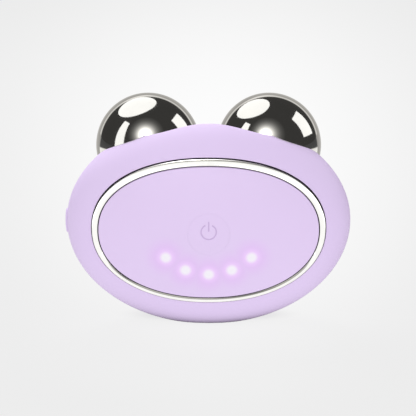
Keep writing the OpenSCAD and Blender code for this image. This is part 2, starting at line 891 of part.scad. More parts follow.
module side_leads() {
  end_x = 3.5 - board_w / 2;
  color([0.20, 0.60, 0.30]) at_middle() for (z = [4.4, 6])
    wire(eased([[side_board_x + board_t, -2.4, z - 2], [side_board_x + board_t + 2, -2.4, z - 2],
      [-side_screw_x, -5, z], [end_x, board_back + 4, z], [end_x, board_back + 2, z],
      [end_x, board_back, z]]));
}

silicone_sleeve();
front_housing();
rear_housing();
housing_seal();
trim_ring();
face_plate();
face_carrier();
power_button();
power_plunger();
power_switch_stem();
power_switch();
light_guide();
indicator_leds();
main_board();
microcontroller();
boost_coil();
output_capacitors();
motor_can();
motor_shaft();
eccentric_weight();
motor_boot();
battery_connector();
battery_cell();
battery_pad();
battery_tray();
left_sphere();
right_sphere();
left_sphere_gasket();
right_sphere_gasket();
sphere_studs();
sphere_nuts();
contact_tabs();
charge_socket();
socket_seal();
side_key();
side_plunger();
side_switch_stem();
side_switch();
side_board();
housing_screws();
board_screws();
battery_leads();
sphere_leads();
charge_leads();
side_leads();
motor_leads();
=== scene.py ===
# %% [markdown]
# # A facial toning device, piece by piece
# The object is a palm-sized oval body in lavender silicone. Two dark polished spheres sit in its
# top edge, a bright ring frames a domed plate on its face, and the plate carries a round power
# button and five glowing dots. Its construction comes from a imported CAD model. This lesson gives it
# its looks: it models the visible skins finely, gives every piece a finish and lights a studio.

# %% Load the construction
import json
import math

import bmesh
import bpy
import numpy as np
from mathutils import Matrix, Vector


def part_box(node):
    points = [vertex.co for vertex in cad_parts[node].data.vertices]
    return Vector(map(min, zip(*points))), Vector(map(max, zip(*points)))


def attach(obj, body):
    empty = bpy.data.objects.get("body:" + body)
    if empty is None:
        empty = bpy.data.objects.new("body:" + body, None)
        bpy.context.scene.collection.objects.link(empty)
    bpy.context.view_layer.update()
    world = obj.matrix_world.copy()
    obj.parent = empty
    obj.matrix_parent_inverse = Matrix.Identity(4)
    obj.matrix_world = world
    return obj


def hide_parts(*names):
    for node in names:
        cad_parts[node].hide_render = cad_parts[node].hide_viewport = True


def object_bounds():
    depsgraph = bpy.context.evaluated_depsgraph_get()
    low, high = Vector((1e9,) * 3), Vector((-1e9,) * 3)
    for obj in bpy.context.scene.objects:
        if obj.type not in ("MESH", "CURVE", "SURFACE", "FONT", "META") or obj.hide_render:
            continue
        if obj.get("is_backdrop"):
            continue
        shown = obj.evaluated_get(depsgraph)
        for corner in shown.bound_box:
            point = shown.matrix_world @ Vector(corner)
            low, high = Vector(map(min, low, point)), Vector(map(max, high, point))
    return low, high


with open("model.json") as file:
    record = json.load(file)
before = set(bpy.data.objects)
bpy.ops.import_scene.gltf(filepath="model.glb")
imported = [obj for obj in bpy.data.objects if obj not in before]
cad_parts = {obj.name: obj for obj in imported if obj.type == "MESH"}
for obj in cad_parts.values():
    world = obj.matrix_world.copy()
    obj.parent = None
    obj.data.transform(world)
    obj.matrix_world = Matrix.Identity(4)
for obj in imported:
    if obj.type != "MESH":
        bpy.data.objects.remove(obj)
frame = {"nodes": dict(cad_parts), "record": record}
cad_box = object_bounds()
nodes = frame["nodes"]

# %% [markdown]
# The body is an oval, 94.4 mm wide, with three half sizes. Its width and the height of its middle
# can be read from the frame, because the sleeve is as wide as the oval and the ring is centred on
# it. All places are then worked out from that middle, so they fit the CAD pieces without trying.

# %% Sizes
MM = 0.001
ring_low, ring_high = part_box("trim_ring")
ball_low, ball_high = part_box("right_sphere")
sleeve_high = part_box("silicone_sleeve")[1]
MIDDLE = np.array([0, 0, (ring_low.z + ring_high.z) / 2])
BASE_FLAT = 0.5 * MM
HALF = np.array([sleeve_high.x, 20 * MM, MIDDLE[2] + BASE_FLAT])
RING_HALF = np.array([(ring_high.x - ring_low.x) / 2, (ring_high.z - ring_low.z) / 2])
RING_BAND = 2.1 * MM
OVAL_POWER = 2.15
BALL_R = (ball_high.x - ball_low.x) / 2
BALL = np.array((ball_low + ball_high) / 2)
BALL[2] = ball_high.z - BALL_R
SLEEVE_T = 0.9 * MM
print("oval half sizes, mm:", np.round(HALF / MM, 2), "ring:", np.round(RING_HALF / MM, 2))
print("sphere centre, mm:", np.round(BALL / MM, 2), "radius:", round(BALL_R / MM, 2))

# %% [markdown]
# The camera looks down at the face from 13.75 degrees, from 600 mm away, with a long lens: three
# picture points cover one millimetre at the body's middle. The body sits a little low in the
# picture, so the camera is raised by 4 mm instead of being tilted or shifted.

# %% Camera
CAMERA_TILT = math.radians(13.75)
CAMERA_FAR = 600 * MM
CAMERA_SIDE = -0.22 * MM
CAMERA_RAISE = 3.97 * MM
POINTS_PER_MM = 3.0
PICTURE_POINTS = 416

camera_data = bpy.data.cameras.new("camera")
camera_data.sensor_width = 36
camera_data.lens = 36 * POINTS_PER_MM * CAMERA_FAR / MM / PICTURE_POINTS
camera_data.clip_start = 0.01
camera_data.clip_end = 50
camera = bpy.data.objects.new("camera", camera_data)
bpy.context.scene.collection.objects.link(camera)
look = Vector((0, math.cos(CAMERA_TILT), -math.sin(CAMERA_TILT)))
picture_up = Vector((0, math.sin(CAMERA_TILT), math.cos(CAMERA_TILT)))
aim = Vector(MIDDLE) + Vector((CAMERA_SIDE, 0, 0)) + picture_up * CAMERA_RAISE
camera.location = aim - look * CAMERA_FAR
camera.rotation_euler = (math.pi / 2 - CAMERA_TILT, 0, 0)
bpy.context.scene.camera = camera
print("lens, mm:", round(camera_data.lens, 2))

# %% [markdown]
# Shader maths reads best as sums. One small class wraps a socket, so that `1 - mask * 0.5` adds the
# Math nodes itself. A Finish is a material with one Principled shader, and its node() method adds
# any other node: its settings first, then what goes into its sockets.


# %% Shader helpers
class Value:
    """One number in a finish. Arithmetic on it adds Math nodes."""

    def __init__(self, finish, socket):
        self.finish, self.socket = finish, socket

    def math(self, operation, *inputs):
        return self.finish.node("ShaderNodeMath", {"operation": operation}, dict(enumerate(inputs)))

    def __add__(self, other):
        return self.math("ADD", self, other)

    def __mul__(self, other):
        return self.math("MULTIPLY", self, other)

    def __sub__(self, other):
        return self.math("SUBTRACT", self, other)

    def __rsub__(self, other):
        return self.math("SUBTRACT", other, self)

    def __truediv__(self, other):
        return self.math("DIVIDE", self, other)

    def __pow__(self, other):
        return self.math("POWER", self, other)

    __radd__ = __add__
    __rmul__ = __mul__

    def larger(self, other):
        return self.math("MAXIMUM", self, other)

    def steps(self, low, high):
        """0 below low, 1 above high, and an eased slope between them."""
        settings = {"interpolation_type": "SMOOTHSTEP"}
        return self.finish.node("ShaderNodeMapRange", settings, {0: self, 1: low, 2: high})


class Finish:
    """A material that is built in the order in which its maker would think of it."""

    def __init__(self, name):
        self.material = bpy.data.materials.new(name)
        self.material.use_nodes = True
        self.tree = self.material.node_tree
        self.shader = self.tree.nodes["Principled BSDF"]

    def node(self, kind, settings=None, inputs=None, output=0):
        made = self.tree.nodes.new(kind)
        for key, value in (settings or {}).items():
            setattr(made, key, value)
        for key, value in (inputs or {}).items():
            self.feed(made.inputs[key], value)
        return Value(self, made.outputs[output])

    def feed(self, socket, value):
        if isinstance(value, Value):
            self.tree.links.new(value.socket, socket)
        else:
            socket.default_value = value

    def set(self, **inputs):
        """Feeds the shader's own sockets: set(Base_Color=...) is the socket Base Color."""
        for key, value in inputs.items():
            self.feed(self.shader.inputs[key.replace("_", " ")], value)
        return self

    def place(self, output="Object"):
        return self.node("ShaderNodeTexCoord", output=output)

    def parts(self, place):
        """The x, y and z of a place."""
        split = self.node("ShaderNodeSeparateXYZ", {}, {0: place}).socket.node
        return [Value(self, end) for end in split.outputs]

    def noise(self, size, detail=2.0, roughness=0.5):
        """Noise from 0 to 1 whose blots are about size metres across."""
        inputs = {"Scale": 1 / size, "Detail": detail, "Roughness": roughness}
        return self.node("ShaderNodeTexNoise", {}, {"Vector": self.place(), **inputs})

    def mix(self, factor, first, second):
        inputs = {0: factor, 6: first, 7: second}
        return self.node("ShaderNodeMix", {"data_type": "RGBA"}, inputs, output=2)

    def tone(self):
        """What feeds the base colour so far."""
        return Value(self, self.shader.inputs["Base Color"].links[0].from_socket)

    def light(self, colour, strength=1.0):
        return self.node("ShaderNodeEmission", {}, {"Color": colour, "Strength": strength})

    def surface(self, shader):
        """Makes a shader the surface of this material, or of the world."""
        ends = [n for n in self.tree.nodes if n.type in ("OUTPUT_MATERIAL", "OUTPUT_WORLD")]
        self.tree.links.new(shader.socket, ends[0].inputs["Surface"])

    def bump(self, height, depth, strength=1.0):
        """A surface that rises by depth metres where height is 1."""
        inputs = {"Height": height, "Distance": depth, "Strength": strength}
        return self.node("ShaderNodeBump", {}, inputs)


def colour(red, green, blue):
    """A colour given as it shows on a screen, 0 to 255, as the linear values that shaders use."""
    return tuple(
        v / 12.92 if v <= 0.04045 else ((v + 0.055) / 1.055) ** 2.4
        for v in (red / 255, green / 255, blue / 255)
    ) + (1,)


def grey(level):
    return level, level, level, 1


def darker(base, share):
    """A colour taken towards black by a share."""
    return tuple(part * (1 - share) for part in base[:3]) + (1,)


# %% [markdown]
# The silicone is a satin skin. Moulded silicone copies the fine blasted texture of its mould, which
# spreads the light, and it picks up faint cloudy changes of tone. So its finish has a grain of a
# tenth of a millimetre in the bump, a coarser waviness under it, and small changes in roughness.


# %% Lavender finishes
def satin_finish(name, base, grain=0.10 * MM, roughness=0.46):
    """Moulded lavender: fine grain, a slow waviness, and tone that drifts a little."""
    finish = Finish(name)
    fine = finish.noise(grain, detail=3)
    slow = finish.noise(9 * MM, detail=2)
    cloud = finish.noise(26 * MM, detail=3)
    tone = finish.mix(cloud.steps(0.3, 0.7), darker(base, 0.012), base)
    finish.set(
        Base_Color=tone,
        Roughness=fine * 0.06 + slow * 0.04 + (roughness - 0.05),
        Normal=finish.bump(fine + slow * 0.6, 0.004 * MM, 0.6),
        Specular_IOR_Level=0.3,
        IOR=1.41,
    )
    return finish


BODY_COLOUR = colour(223, 203, 240)
PLATE_COLOUR = colour(224, 204, 240)
silicone = satin_finish("lavender silicone", BODY_COLOUR, 0.12 * MM, 0.52)
key_satin = satin_finish("lavender key", BODY_COLOUR, roughness=0.48)
button_satin = satin_finish("lavender button", PLATE_COLOUR)
# painted shade: the power sign's groove is darkened in the button's colour, more where it is deeper
pressed_in = button_satin.node(
    "ShaderNodeAttribute", {"attribute_name": "pressed"}, output="Fac",
)
painted_groove_shade = colour(190, 166, 208)
button_satin.set(Base_Color=button_satin.mix(pressed_in * 0.65, button_satin.tone(), painted_groove_shade))
print("lavender, linear:", [round(c, 3) for c in BODY_COLOUR[:3]])

# %% [markdown]
# The five dots are lights behind a thin milky plate: each has a white core with a soft edge, a pink
# bloom round it and a wide violet haze that joins its neighbours. They are drawn in the plate's own
# material, from the distance to the nearest light, so they stay where the light pipes are. The
# sign in the button has painted shade, a little darker than the cap, where its groove holds back
# light.

# %% Light places and the plate's finish
LIGHT_COUNT = 5
LIGHT_STEP = math.radians(22.3)
LIGHT_ARC_R = 19.8 * MM
LIGHT_ARC_UP = 6.15 * MM
light_spots = [
    (LIGHT_ARC_R * math.sin(turn), LIGHT_ARC_UP - LIGHT_ARC_R * math.cos(turn))
    for turn in (LIGHT_STEP * (i - (LIGHT_COUNT - 1) / 2) for i in range(LIGHT_COUNT))
]
CORE_FULL = 0.9 * MM
CORE_END = 2.35 * MM
BLOOM_R = 3.9 * MM
HAZE_R = 8.0 * MM
HAZE_TONE, HAZE_GLOW = (0.69, 0.50, 0.80, 1), (0.06, 0.02, 0.085, 1)
BLOOM_GLOW = (0.17, 0.13, 0.17, 1)
CORE_TONE, CORE_GLOW = (0.50, 0.49, 0.51, 1), (0.38, 0.36, 0.41, 1)


def lit_plate():
    finish = satin_finish("lavender plate", PLATE_COLOUR)
    across, _, up = finish.parts(finish.place())
    nearest = None
    for x, z in light_spots:
        right, rise = across - x, up - (z + MIDDLE[2])
        distance = (right * right + rise * rise) ** 0.5
        nearest = distance if nearest is None else nearest.math("MINIMUM", nearest, distance)
    core = 1 - nearest.steps(CORE_FULL, CORE_END)
    bloom = 1 - nearest.steps(CORE_FULL, BLOOM_R)
    haze = 1 - nearest.steps(CORE_FULL, HAZE_R)
    tone = finish.mix(core, finish.mix(haze, finish.tone(), HAZE_TONE), CORE_TONE)
    glow = finish.mix(haze, grey(0), HAZE_GLOW)
    glow = finish.mix(core, finish.mix(bloom, glow, BLOOM_GLOW), CORE_GLOW)
    finish.set(Base_Color=tone, Emission_Color=glow, Emission_Strength=1.0)
    return finish


plate_satin = lit_plate()
print("lights, mm:", [(round(x / MM, 1), round(z / MM, 1)) for x, z in light_spots])

# %% [markdown]
# The ring is bright chrome. The spheres are a darker polished metal, so they show the pale room as
# a warm grey and keep their insides almost black. Real polish is never perfect: faint wiping marks
# change the roughness a little, and a very fine bump keeps each reflection from looking drawn.


# %% Metal finishes
def polished_metal(name, base, roughness, wipe, lines):
    finish = Finish(name)
    smear = finish.noise(wipe, detail=4, roughness=0.6)
    fine = finish.noise(lines, detail=2)
    tone = finish.mix(smear.steps(0.35, 0.75), base, darker(base, 0.05))
    finish.set(
        Base_Color=tone,
        Metallic=1.0,
        Roughness=smear.steps(0.4, 0.8) * 0.025 + roughness,
        Normal=finish.bump(fine, 0.0004 * MM, 0.25),
    )
    return finish


bright_chrome = polished_metal("bright chrome", colour(250, 250, 247), 0.05, 4 * MM, 0.25 * MM)
dark_polish = polished_metal("dark polished metal", colour(172, 171, 168), 0.06, 7 * MM, 0.4 * MM)

# %% [markdown]
# Inside the body are moulded plastics, rubber, bare metal, foam, foil and circuit board. They are
# seldom seen, yet each has its own finish: a shared recipe gives a coloured surface its grain, its
# changes of tone and its gloss, and a few pieces get more, such as the board's copper tracks. Two
# tables then list what the recipes make, one row for each slot of the construction.


# %% Finishes of the inner pieces
def moulded(name, base, roughness, grain=0.2 * MM, depth=0.006 * MM, drift=0.08, metallic=0.0):
    finish = Finish(name)
    fine = finish.noise(grain, detail=3)
    cloud = finish.noise(grain * 22, detail=2)
    tone = finish.mix(cloud.steps(0.3, 0.7), base, darker(base, drift))
    finish.set(
        Base_Color=tone,
        Metallic=metallic,
        Roughness=fine * 0.1 + (roughness - 0.05),
        Normal=finish.bump(fine, depth, 0.7),
    )
    return finish


def brushed(name, base, roughness):
    """Turned or drawn metal, with fine lines across it."""
    finish = Finish(name)
    inputs = {"Vector": finish.place(), "Scale": (1, 14, 14)}
    stretched = finish.node("ShaderNodeMapping", {}, inputs)
    inputs = {"Vector": stretched, "Scale": 1 / (0.6 * MM), "Detail": 3.0}
    lines = finish.node("ShaderNodeTexNoise", {}, inputs)
    tone = finish.mix(lines, base, darker(base, 0.15))
    finish.set(
        Base_Color=tone,
        Metallic=1.0,
        Roughness=lines * 0.15 + (roughness - 0.07),
        Normal=finish.bump(lines, 0.002 * MM, 0.5),
    )
    return finish


def bands(finish, heading, size, **inputs):
    """Stripes of about the given size, as shares from 0 to 1."""
    settings = {"wave_type": "BANDS", "bands_direction": heading}
    inputs = {"Vector": finish.place(), "Scale": 1 / size, **inputs}
    return finish.node("ShaderNodeTexWave", settings, inputs, output="Fac")


def circuit_board():
    """Green solder mask with paler tracks that wind under it."""
    finish = Finish("circuit board")
    track = bands(finish, "DIAGONAL", 4 * MM, Distortion=5.0, Detail=1.0).steps(0.72, 0.8)
    finish.set(
        Base_Color=finish.mix(track, colour(24, 92, 58), colour(52, 132, 84)),
        Roughness=0.34,
        Normal=finish.bump(track, 0.03 * MM, 0.5),
    )
    return finish


def wound_copper():
    finish = Finish("wound copper")
    turns = bands(finish, "Y", 1.5 * MM, Distortion=0.3)
    finish.set(
        Base_Color=finish.mix(turns, colour(110, 55, 22), colour(214, 132, 74)),
        Metallic=1.0,
        Roughness=0.32,
        Normal=finish.bump(turns, 0.05 * MM),
    )
    return finish


def clear_guide():
    finish = moulded("clear light guide", colour(236, 238, 246), 0.12)
    finish.shader.inputs["Transmission Weight"].default_value = 0.85
    finish.shader.inputs["IOR"].default_value = 1.49
    return finish


def led_resin():
    finish = moulded("led resin", colour(250, 246, 228), 0.25)
    finish.set(Emission_Color=(1.0, 0.92, 1.0, 1), Emission_Strength=0.6)
    return finish


MOULDED = {
    # slot: colour, roughness, and where they differ the grain, depth, drift and metallic
    "housing_plastic": ((228, 224, 234), 0.5),
    "seam_rubber": ((150, 136, 172), 0.7),
    "gasket_rubber": ((196, 186, 200), 0.55, 0.12 * MM),
    "carrier_plastic": ((84, 84, 88), 0.5),
    "plunger_plastic": ((190, 180, 204), 0.42),
    "switch_plastic": ((38, 38, 41), 0.45),
    "socket_plastic": ((34, 34, 37), 0.4, 0.1 * MM),
    "chip_plastic": ((30, 31, 33), 0.55, 0.08 * MM),
    "connector_plastic": ((240, 234, 220), 0.4),
    "tray_plastic": ((216, 216, 208), 0.5),
    "capacitor_body": ((168, 142, 96), 0.5),
    "boot_rubber": ((40, 40, 43), 0.75),
    "foam_pad": ((52, 52, 56), 0.95, 0.5 * MM, 0.2 * MM, 0.3),
    "cell_foil": ((196, 200, 208), 0.3, 1.2 * MM, 0.08 * MM, 0.06, 1.0),
    "weight_metal": ((132, 130, 124), 0.5, 0.15 * MM, 0.02 * MM, 0.2, 1.0),
    "lead_red": ((190, 34, 34), 0.4),
    "lead_yellow": ((222, 208, 62), 0.4),
    "lead_blue": ((44, 58, 180), 0.4),
    "lead_green": ((46, 146, 74), 0.4),
    "lead_orange": ((210, 112, 30), 0.4),
}
BRUSHED = {
    "motor_steel": ((190, 190, 196), 0.28),
    "steel_fastener": ((176, 176, 180), 0.3),
    "contact_brass": ((222, 184, 98), 0.28),
    "switch_stem": ((216, 178, 96), 0.26),
}
finishes = {
    "lavender_silicone": silicone,
    "lavender_plate": plate_satin,
    "lavender_button": button_satin,
    "lavender_key": key_satin,
    "bright_trim": bright_chrome,
    "sphere_metal": dark_polish,
    "circuit_board": circuit_board(),
    "coil_copper": wound_copper(),
    "light_guide": clear_guide(),
    "led_body": led_resin(),
}
for recipe, rows in ((moulded, MOULDED), (brushed, BRUSHED)):
    for slot, (tone, *rest) in rows.items():
        finishes[slot] = recipe(slot.replace("_", " "), colour(*tone), *rest)
print("finishes:", len(finishes))

# %% [markdown]
# Every node of the construction names a material slot in its record. The loop puts the finish of
# that slot on each of them, and the pieces modelled below then take over the nodes that show most.

# %% Dress the construction
rows = frame["record"].get("nodes", [])
NODE_SLOTS = {row["name"]: row["material"] for row in rows if "material" in row}
for name, node in sorted(nodes.items()):
    slot = NODE_SLOTS.get(name) or (node.data.materials[0].name if node.data.materials else "")
    slot = slot.split(".")[0]
    if slot not in finishes:
        print("no finish for", name, slot)
        continue
    if node.data.materials:
        node.data.materials[0] = finishes[slot].material
    else:
        node.data.materials.append(finishes[slot].material)

# %% [markdown]
# A piece is modelled the same way each time: a primitive is added, shaped, smoothed and handed over
# to the body that it rides on. A few helpers do what repeats.


# %% Modelling helpers
def new_piece(name, add, **settings):
    """Adds a primitive by its operator and names it."""
    bpy.ops.object.select_all(action="DESELECT")
    add(**settings)
    piece = bpy.context.object
    piece.name = piece.data.name = name
    bpy.ops.object.transform_apply(location=True, rotation=True, scale=True)
    return piece


def choose(piece):
    """Selects one piece alone, because an operator acts on all that is selected."""
    bpy.ops.object.select_all(action="DESELECT")
    piece.select_set(True)
    bpy.context.view_layer.objects.active = piece


def finish_modifier(piece, kind, **settings):
    """Adds a modifier, sets it and applies it."""
    choose(piece)
    modifier = piece.modifiers.new(kind.lower(), kind)
    for key, value in settings.items():
        setattr(modifier, key, value)
    bpy.ops.object.modifier_apply(modifier=modifier.name)


def points_of(piece):
    found = np.zeros(len(piece.data.vertices) * 3)
    piece.data.vertices.foreach_get("co", found)
    return found.reshape(-1, 3)


def move_points(piece, places):
    piece.data.vertices.foreach_set("co", places.astype(np.float32).ravel())
    piece.data.update()


def tidy_normals(piece, merge=0.001 * MM, angle=None):
    """Joins doubles, turns every face outwards and shades the piece smoothly."""
    choose(piece)
    bpy.ops.object.mode_set(mode="EDIT")
    bpy.ops.mesh.select_all(action="SELECT")
    bpy.ops.mesh.remove_doubles(threshold=merge)
    bpy.ops.mesh.normals_make_consistent(inside=False)
    bpy.ops.object.mode_set(mode="OBJECT")
    if angle is None:
        bpy.ops.object.shade_smooth()
    else:
        bpy.ops.object.shade_smooth_by_angle(angle=math.radians(angle))


def hand_over(piece, body, slot, *replaced):
    """Gives a piece its finish, the body that it rides on and the nodes that it stands for."""
    piece.data.materials.clear()
    piece.data.materials.append(finishes[slot].material)
    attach(piece, body)
    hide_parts(*replaced)
    print(piece.name, "faces:", len(piece.data.polygons))
    return piece


# %% [markdown]
# Ring, plate, button and gaskets are all swept shapes: one section that goes round. A torus is the
# right primitive for the closed ones, and a sphere for those with a middle. Each vertex knows how
# far round it is and how far along its section, so a short formula moves it to its place.


# %% Swept shapes
def swept_ring(name, around, across, place):
    """A torus whose vertices move to place(turn, share): share runs once round the section."""
    piece = new_piece(
        name, bpy.ops.mesh.primitive_torus_add, major_segments=around, minor_segments=across,
        major_radius=1.0, minor_radius=0.5,
    )
    p = points_of(piece)
    turn = np.arctan2(p[:, 1], p[:, 0])
    share = np.arctan2(p[:, 2], np.hypot(p[:, 0], p[:, 1]) - 1.0) / (2 * math.pi) % 1.0
    share[share > 1 - 1e-5] = 0.0
    move_points(piece, place(turn, share))
    return piece


def swept_dome(name, around, rings, place):
    """A sphere whose vertices move to place(turn, share): share runs from pole to pole."""
    piece = new_piece(
        name, bpy.ops.mesh.primitive_uv_sphere_add, segments=around, ring_count=rings, radius=1.0,
    )
    p = points_of(piece)
    turn = np.arctan2(p[:, 1], p[:, 0])
    share = np.arccos(np.clip(p[:, 2], -1, 1)) / math.pi
    move_points(piece, place(turn, share))
    return piece


# %% [markdown]
# The body's skin is described by one number at each point of space: how far that point is outside
# the skin, or inside it where the number is negative. The oval is the start, and is a little fuller
# below its middle. Two cups and the hollow between the spheres are taken away. The hollow starts
# high in the middle, which leaves the crest in front of the spheres. Taking the softer of two
# numbers, instead of the larger, rounds the lip where they meet, as silicone is always rounded.

# %% The body's skin as a distance
LOW_HALF = 35.6 * MM
CUP_FRONT = 0.15 * MM
CUP_BACK = 0.55 * MM
HOLLOW_MID = np.array([9.6, 38.55]) * MM
HOLLOW_MID_R = 14.84 * MM
HOLLOW_EASE = 4.6 * MM
LIP = 1.3 * MM
FLAT_EDGE = 0.3 * MM


def softer(first, second, width):
    """The larger of two distances, eased where they are within width of each other."""
    near = np.maximum(width - np.abs(first - second), 0) / width
    return np.maximum(first, second) + near * near * width / 4


def half_sizes(z, shrink=0.0):
    """The oval's half sizes at z above its middle: it is a little fuller below."""
    half = np.tile(HALF - shrink, (len(z), 1))
    half[z < 0, 2] = LOW_HALF - shrink
    return half


def oval_distance(p, shrink):
    half = half_sizes(p[:, 2], shrink)
    scaled = np.linalg.norm(p / half, axis=1)
    return scaled * (scaled - 1) / np.maximum(np.linalg.norm(p / half**2, axis=1), 1e-9)


def cup_radius(y):
    """The cup holds its sphere tightly in front, and leaves room for the gasket's rim behind."""
    share = np.clip((y + 3 * MM) / (12 * MM), 0, 1)
    return BALL_R + CUP_FRONT + (CUP_BACK - CUP_FRONT) * share * share * (3 - 2 * share)


def hollow_section(x):
    """Middle y and z, and radius, of the hollow between the spheres at a distance x sideways."""
    ease = HOLLOW_EASE
    share = (np.hypot(x, ease) - ease) / (math.hypot(BALL[0], ease) - ease)
    share = np.clip(share, 0, 1) ** 1.39
    ball = BALL - MIDDLE
    y = HOLLOW_MID[0] + (ball[1] - HOLLOW_MID[0]) * share
    z = HOLLOW_MID[1] + (ball[2] - HOLLOW_MID[1]) * share
    return y, z, HOLLOW_MID_R + (BALL_R + CUP_FRONT - HOLLOW_MID_R) * share


def hollow_distance(p, grow):
    """Distance to the cups and the hollow between them; p is measured from the body's middle."""
    x = np.abs(p[:, 0])
    from_ball = np.column_stack([x, p[:, 1], p[:, 2]]) - (BALL - MIDDLE)
    cup = np.linalg.norm(from_ball, axis=1) - cup_radius(from_ball[:, 1]) - grow
    y, z, radius = hollow_section(x)
    middle = np.hypot(p[:, 1] - y, p[:, 2] - z) - radius - grow
    middle = np.maximum(middle, x - BALL[0])
    blend = 0.05 * MM + 2 * MM * (1 - np.clip(x / BALL[0], 0, 1) ** 2)
    return -softer(-cup, -middle, blend)


def body_distance(p, shrink=0.0, lip=LIP):
    p = p - MIDDLE
    skin = softer(oval_distance(p, shrink), -hollow_distance(p, shrink), lip)
    flat = -p[:, 2] - MIDDLE[2] + shrink
    return softer(skin, flat, FLAT_EDGE)


def draw_to_skin(piece, distance, rounds=5):
    """Moves each vertex of a piece along the slope of a distance until it lies on the skin."""
    p = points_of(piece)
    step = 0.01 * MM
    for _ in range(rounds):
        here = distance(p)
        slope = np.column_stack([
            (distance(p + step * axis) - distance(p - step * axis)) / (2 * step)
            for axis in np.eye(3)
        ])
        slope /= np.maximum(np.sum(slope * slope, axis=1), 0.2)[:, None]
        p = p - here[:, None] * slope
    move_points(piece, p)
    print(piece.name, "furthest from the skin, mm:", round(np.abs(distance(p)).max() / MM, 4))


# %% [markdown]
# The sleeve is one seamless silicone skin, 0.9 mm thick. Cutting an oval with balls and cones by
# Boolean modifiers gives its shape but leaves sharp edges and uneven faces. A voxel remesh evens
# them out, and each vertex is then drawn onto the skin worked out above, lips included.


# %% Rough body, cut and remeshed
def hollow_place(shrink):
    """Places for a sphere's vertices that make it the hollow's bar, from ball to ball."""

    def place(turn, share):
        x = -BALL[0] * np.cos(share * math.pi)
        y, z, radius = hollow_section(np.abs(x))
        radius = (radius + shrink) * np.minimum(np.sin(share * math.pi) * 8, 1)
        return MIDDLE + np.column_stack([x, y + radius * np.cos(turn), z + radius * np.sin(turn)])

    return place


def rough_body(name, shrink, voxel):
    body = new_piece(
        name, bpy.ops.mesh.primitive_uv_sphere_add, segments=96, ring_count=64, radius=1,
        location=tuple(MIDDLE), scale=tuple(HALF - shrink),
    )
    cutters = [swept_dome("hollow cutter", 64, 48, hollow_place(shrink))]
    for side in (-1, 1):
        cutters.append(new_piece(
            "cup cutter", bpy.ops.mesh.primitive_uv_sphere_add, segments=64, ring_count=48,
            radius=BALL_R + CUP_BACK + shrink, location=tuple(BALL * (side, 1, 1)),
        ))
    cutters.append(new_piece(
        "flat cutter", bpy.ops.mesh.primitive_cube_add, size=0.2, location=(0, 0, shrink - 0.1),
    ))
    for cutter in cutters:
        finish_modifier(body, "BOOLEAN", operation="DIFFERENCE", object=cutter, solver="EXACT")
        bpy.data.objects.remove(cutter)
    finish_modifier(body, "REMESH", mode="VOXEL", voxel_size=voxel)
    return body


OUTER_VOXEL = 0.46 * MM
sleeve = rough_body("sleeve", 0.0, OUTER_VOXEL)
draw_to_skin(sleeve, body_distance)
lining = rough_body("lining", SLEEVE_T, 1.2 * MM)
draw_to_skin(lining, lambda p: body_distance(p, SLEEVE_T, 0.3 * MM))

# %% [markdown]
# The face opening follows the ring's oval, which is a little squarer than an ellipse. The same
# formula gives its outline, the ring and the plate, so that they share one gap. The key's slot, the
# charging socket's hole and the two stud holes are cut too, and the lining makes the skin hollow.

# %% Openings in the sleeve
RING_GAP = 0.22 * MM
CUTTER_L = 30 * MM
KEY_L = 8.2 * MM
KEY_W = 3.4 * MM
KEY_PLAY = 0.1 * MM
SOCKET_HOLE_R = 2.45 * MM
STUD_HOLE_R = 1.45 * MM


def oval_point(turn, grow=0.0):
    """Place x, z on the ring's outline, grown by grow, for an array of angles."""
    c, s = np.cos(turn), np.sin(turn)
    a, b = RING_HALF + grow
    x = a * np.sign(c) * np.abs(c) ** (2 / OVAL_POWER)
    z = b * np.sign(s) * np.abs(s) ** (2 / OVAL_POWER)
    return np.column_stack([x, z])


def oval_cutter(name, grow, points=256):
    """A tall bar along Y in front of the body's middle, with the ring's outline."""
    cutter = new_piece(
        name, bpy.ops.mesh.primitive_cylinder_add, vertices=points, radius=1, depth=CUTTER_L,
        rotation=(math.pi / 2, 0, 0),
    )
    p = points_of(cutter)
    turn = np.arctan2(p[:, 2], p[:, 0])
    outline = oval_point(turn, grow)
    move_points(cutter, np.column_stack([
        outline[:, 0], p[:, 1] - CUTTER_L / 2, outline[:, 1] + MIDDLE[2],
    ]))
    return cutter


def slot_cutter(name, play):
    """A round-ended bar along X at the key's place."""
    cutter = new_piece(
        name, bpy.ops.mesh.primitive_cylinder_add, vertices=64, radius=KEY_W / 2 + play,
        depth=16 * MM, location=(-HALF[0], 0, MIDDLE[2]), rotation=(0, math.pi / 2, 0),
    )
    p = points_of(cutter)
    upper = p[:, 2] > MIDDLE[2] + 0.001 * MM
    lower = p[:, 2] < MIDDLE[2] - 0.001 * MM
    p[:, 2] += (upper.astype(float) - lower) * (KEY_L - KEY_W) / 2
    move_points(cutter, p)
    return cutter


def hole_cutter(name, radius, low, high, x=0.0, y=0.0):
    return new_piece(
        name, bpy.ops.mesh.primitive_cylinder_add, vertices=64, radius=radius, depth=high - low,
        location=(x, y, (low + high) / 2),
    )


cuts = [
    lining,
    oval_cutter("face cutter", RING_GAP),
    slot_cutter("key cutter", KEY_PLAY),
    hole_cutter("socket cutter", SOCKET_HOLE_R, -2 * MM, 6 * MM),
] + [
    hole_cutter("stud cutter", STUD_HOLE_R, 20 * MM, BALL[2], side * BALL[0], BALL[1])
    for side in (-1, 1)
]
for cut in cuts:
    finish_modifier(sleeve, "BOOLEAN", operation="DIFFERENCE", object=cut, solver="MANIFOLD")
    bpy.data.objects.remove(cut)
tidy_normals(sleeve, 0.0005 * MM, 35)
finish_modifier(sleeve, "WEIGHTED_NORMAL", keep_sharp=True, weight=80)
hand_over(sleeve, "housing", "lavender_silicone", "silicone_sleeve")

# %% [markdown]
# The face needs the height of the oval's front at any place, and the outline of a section.


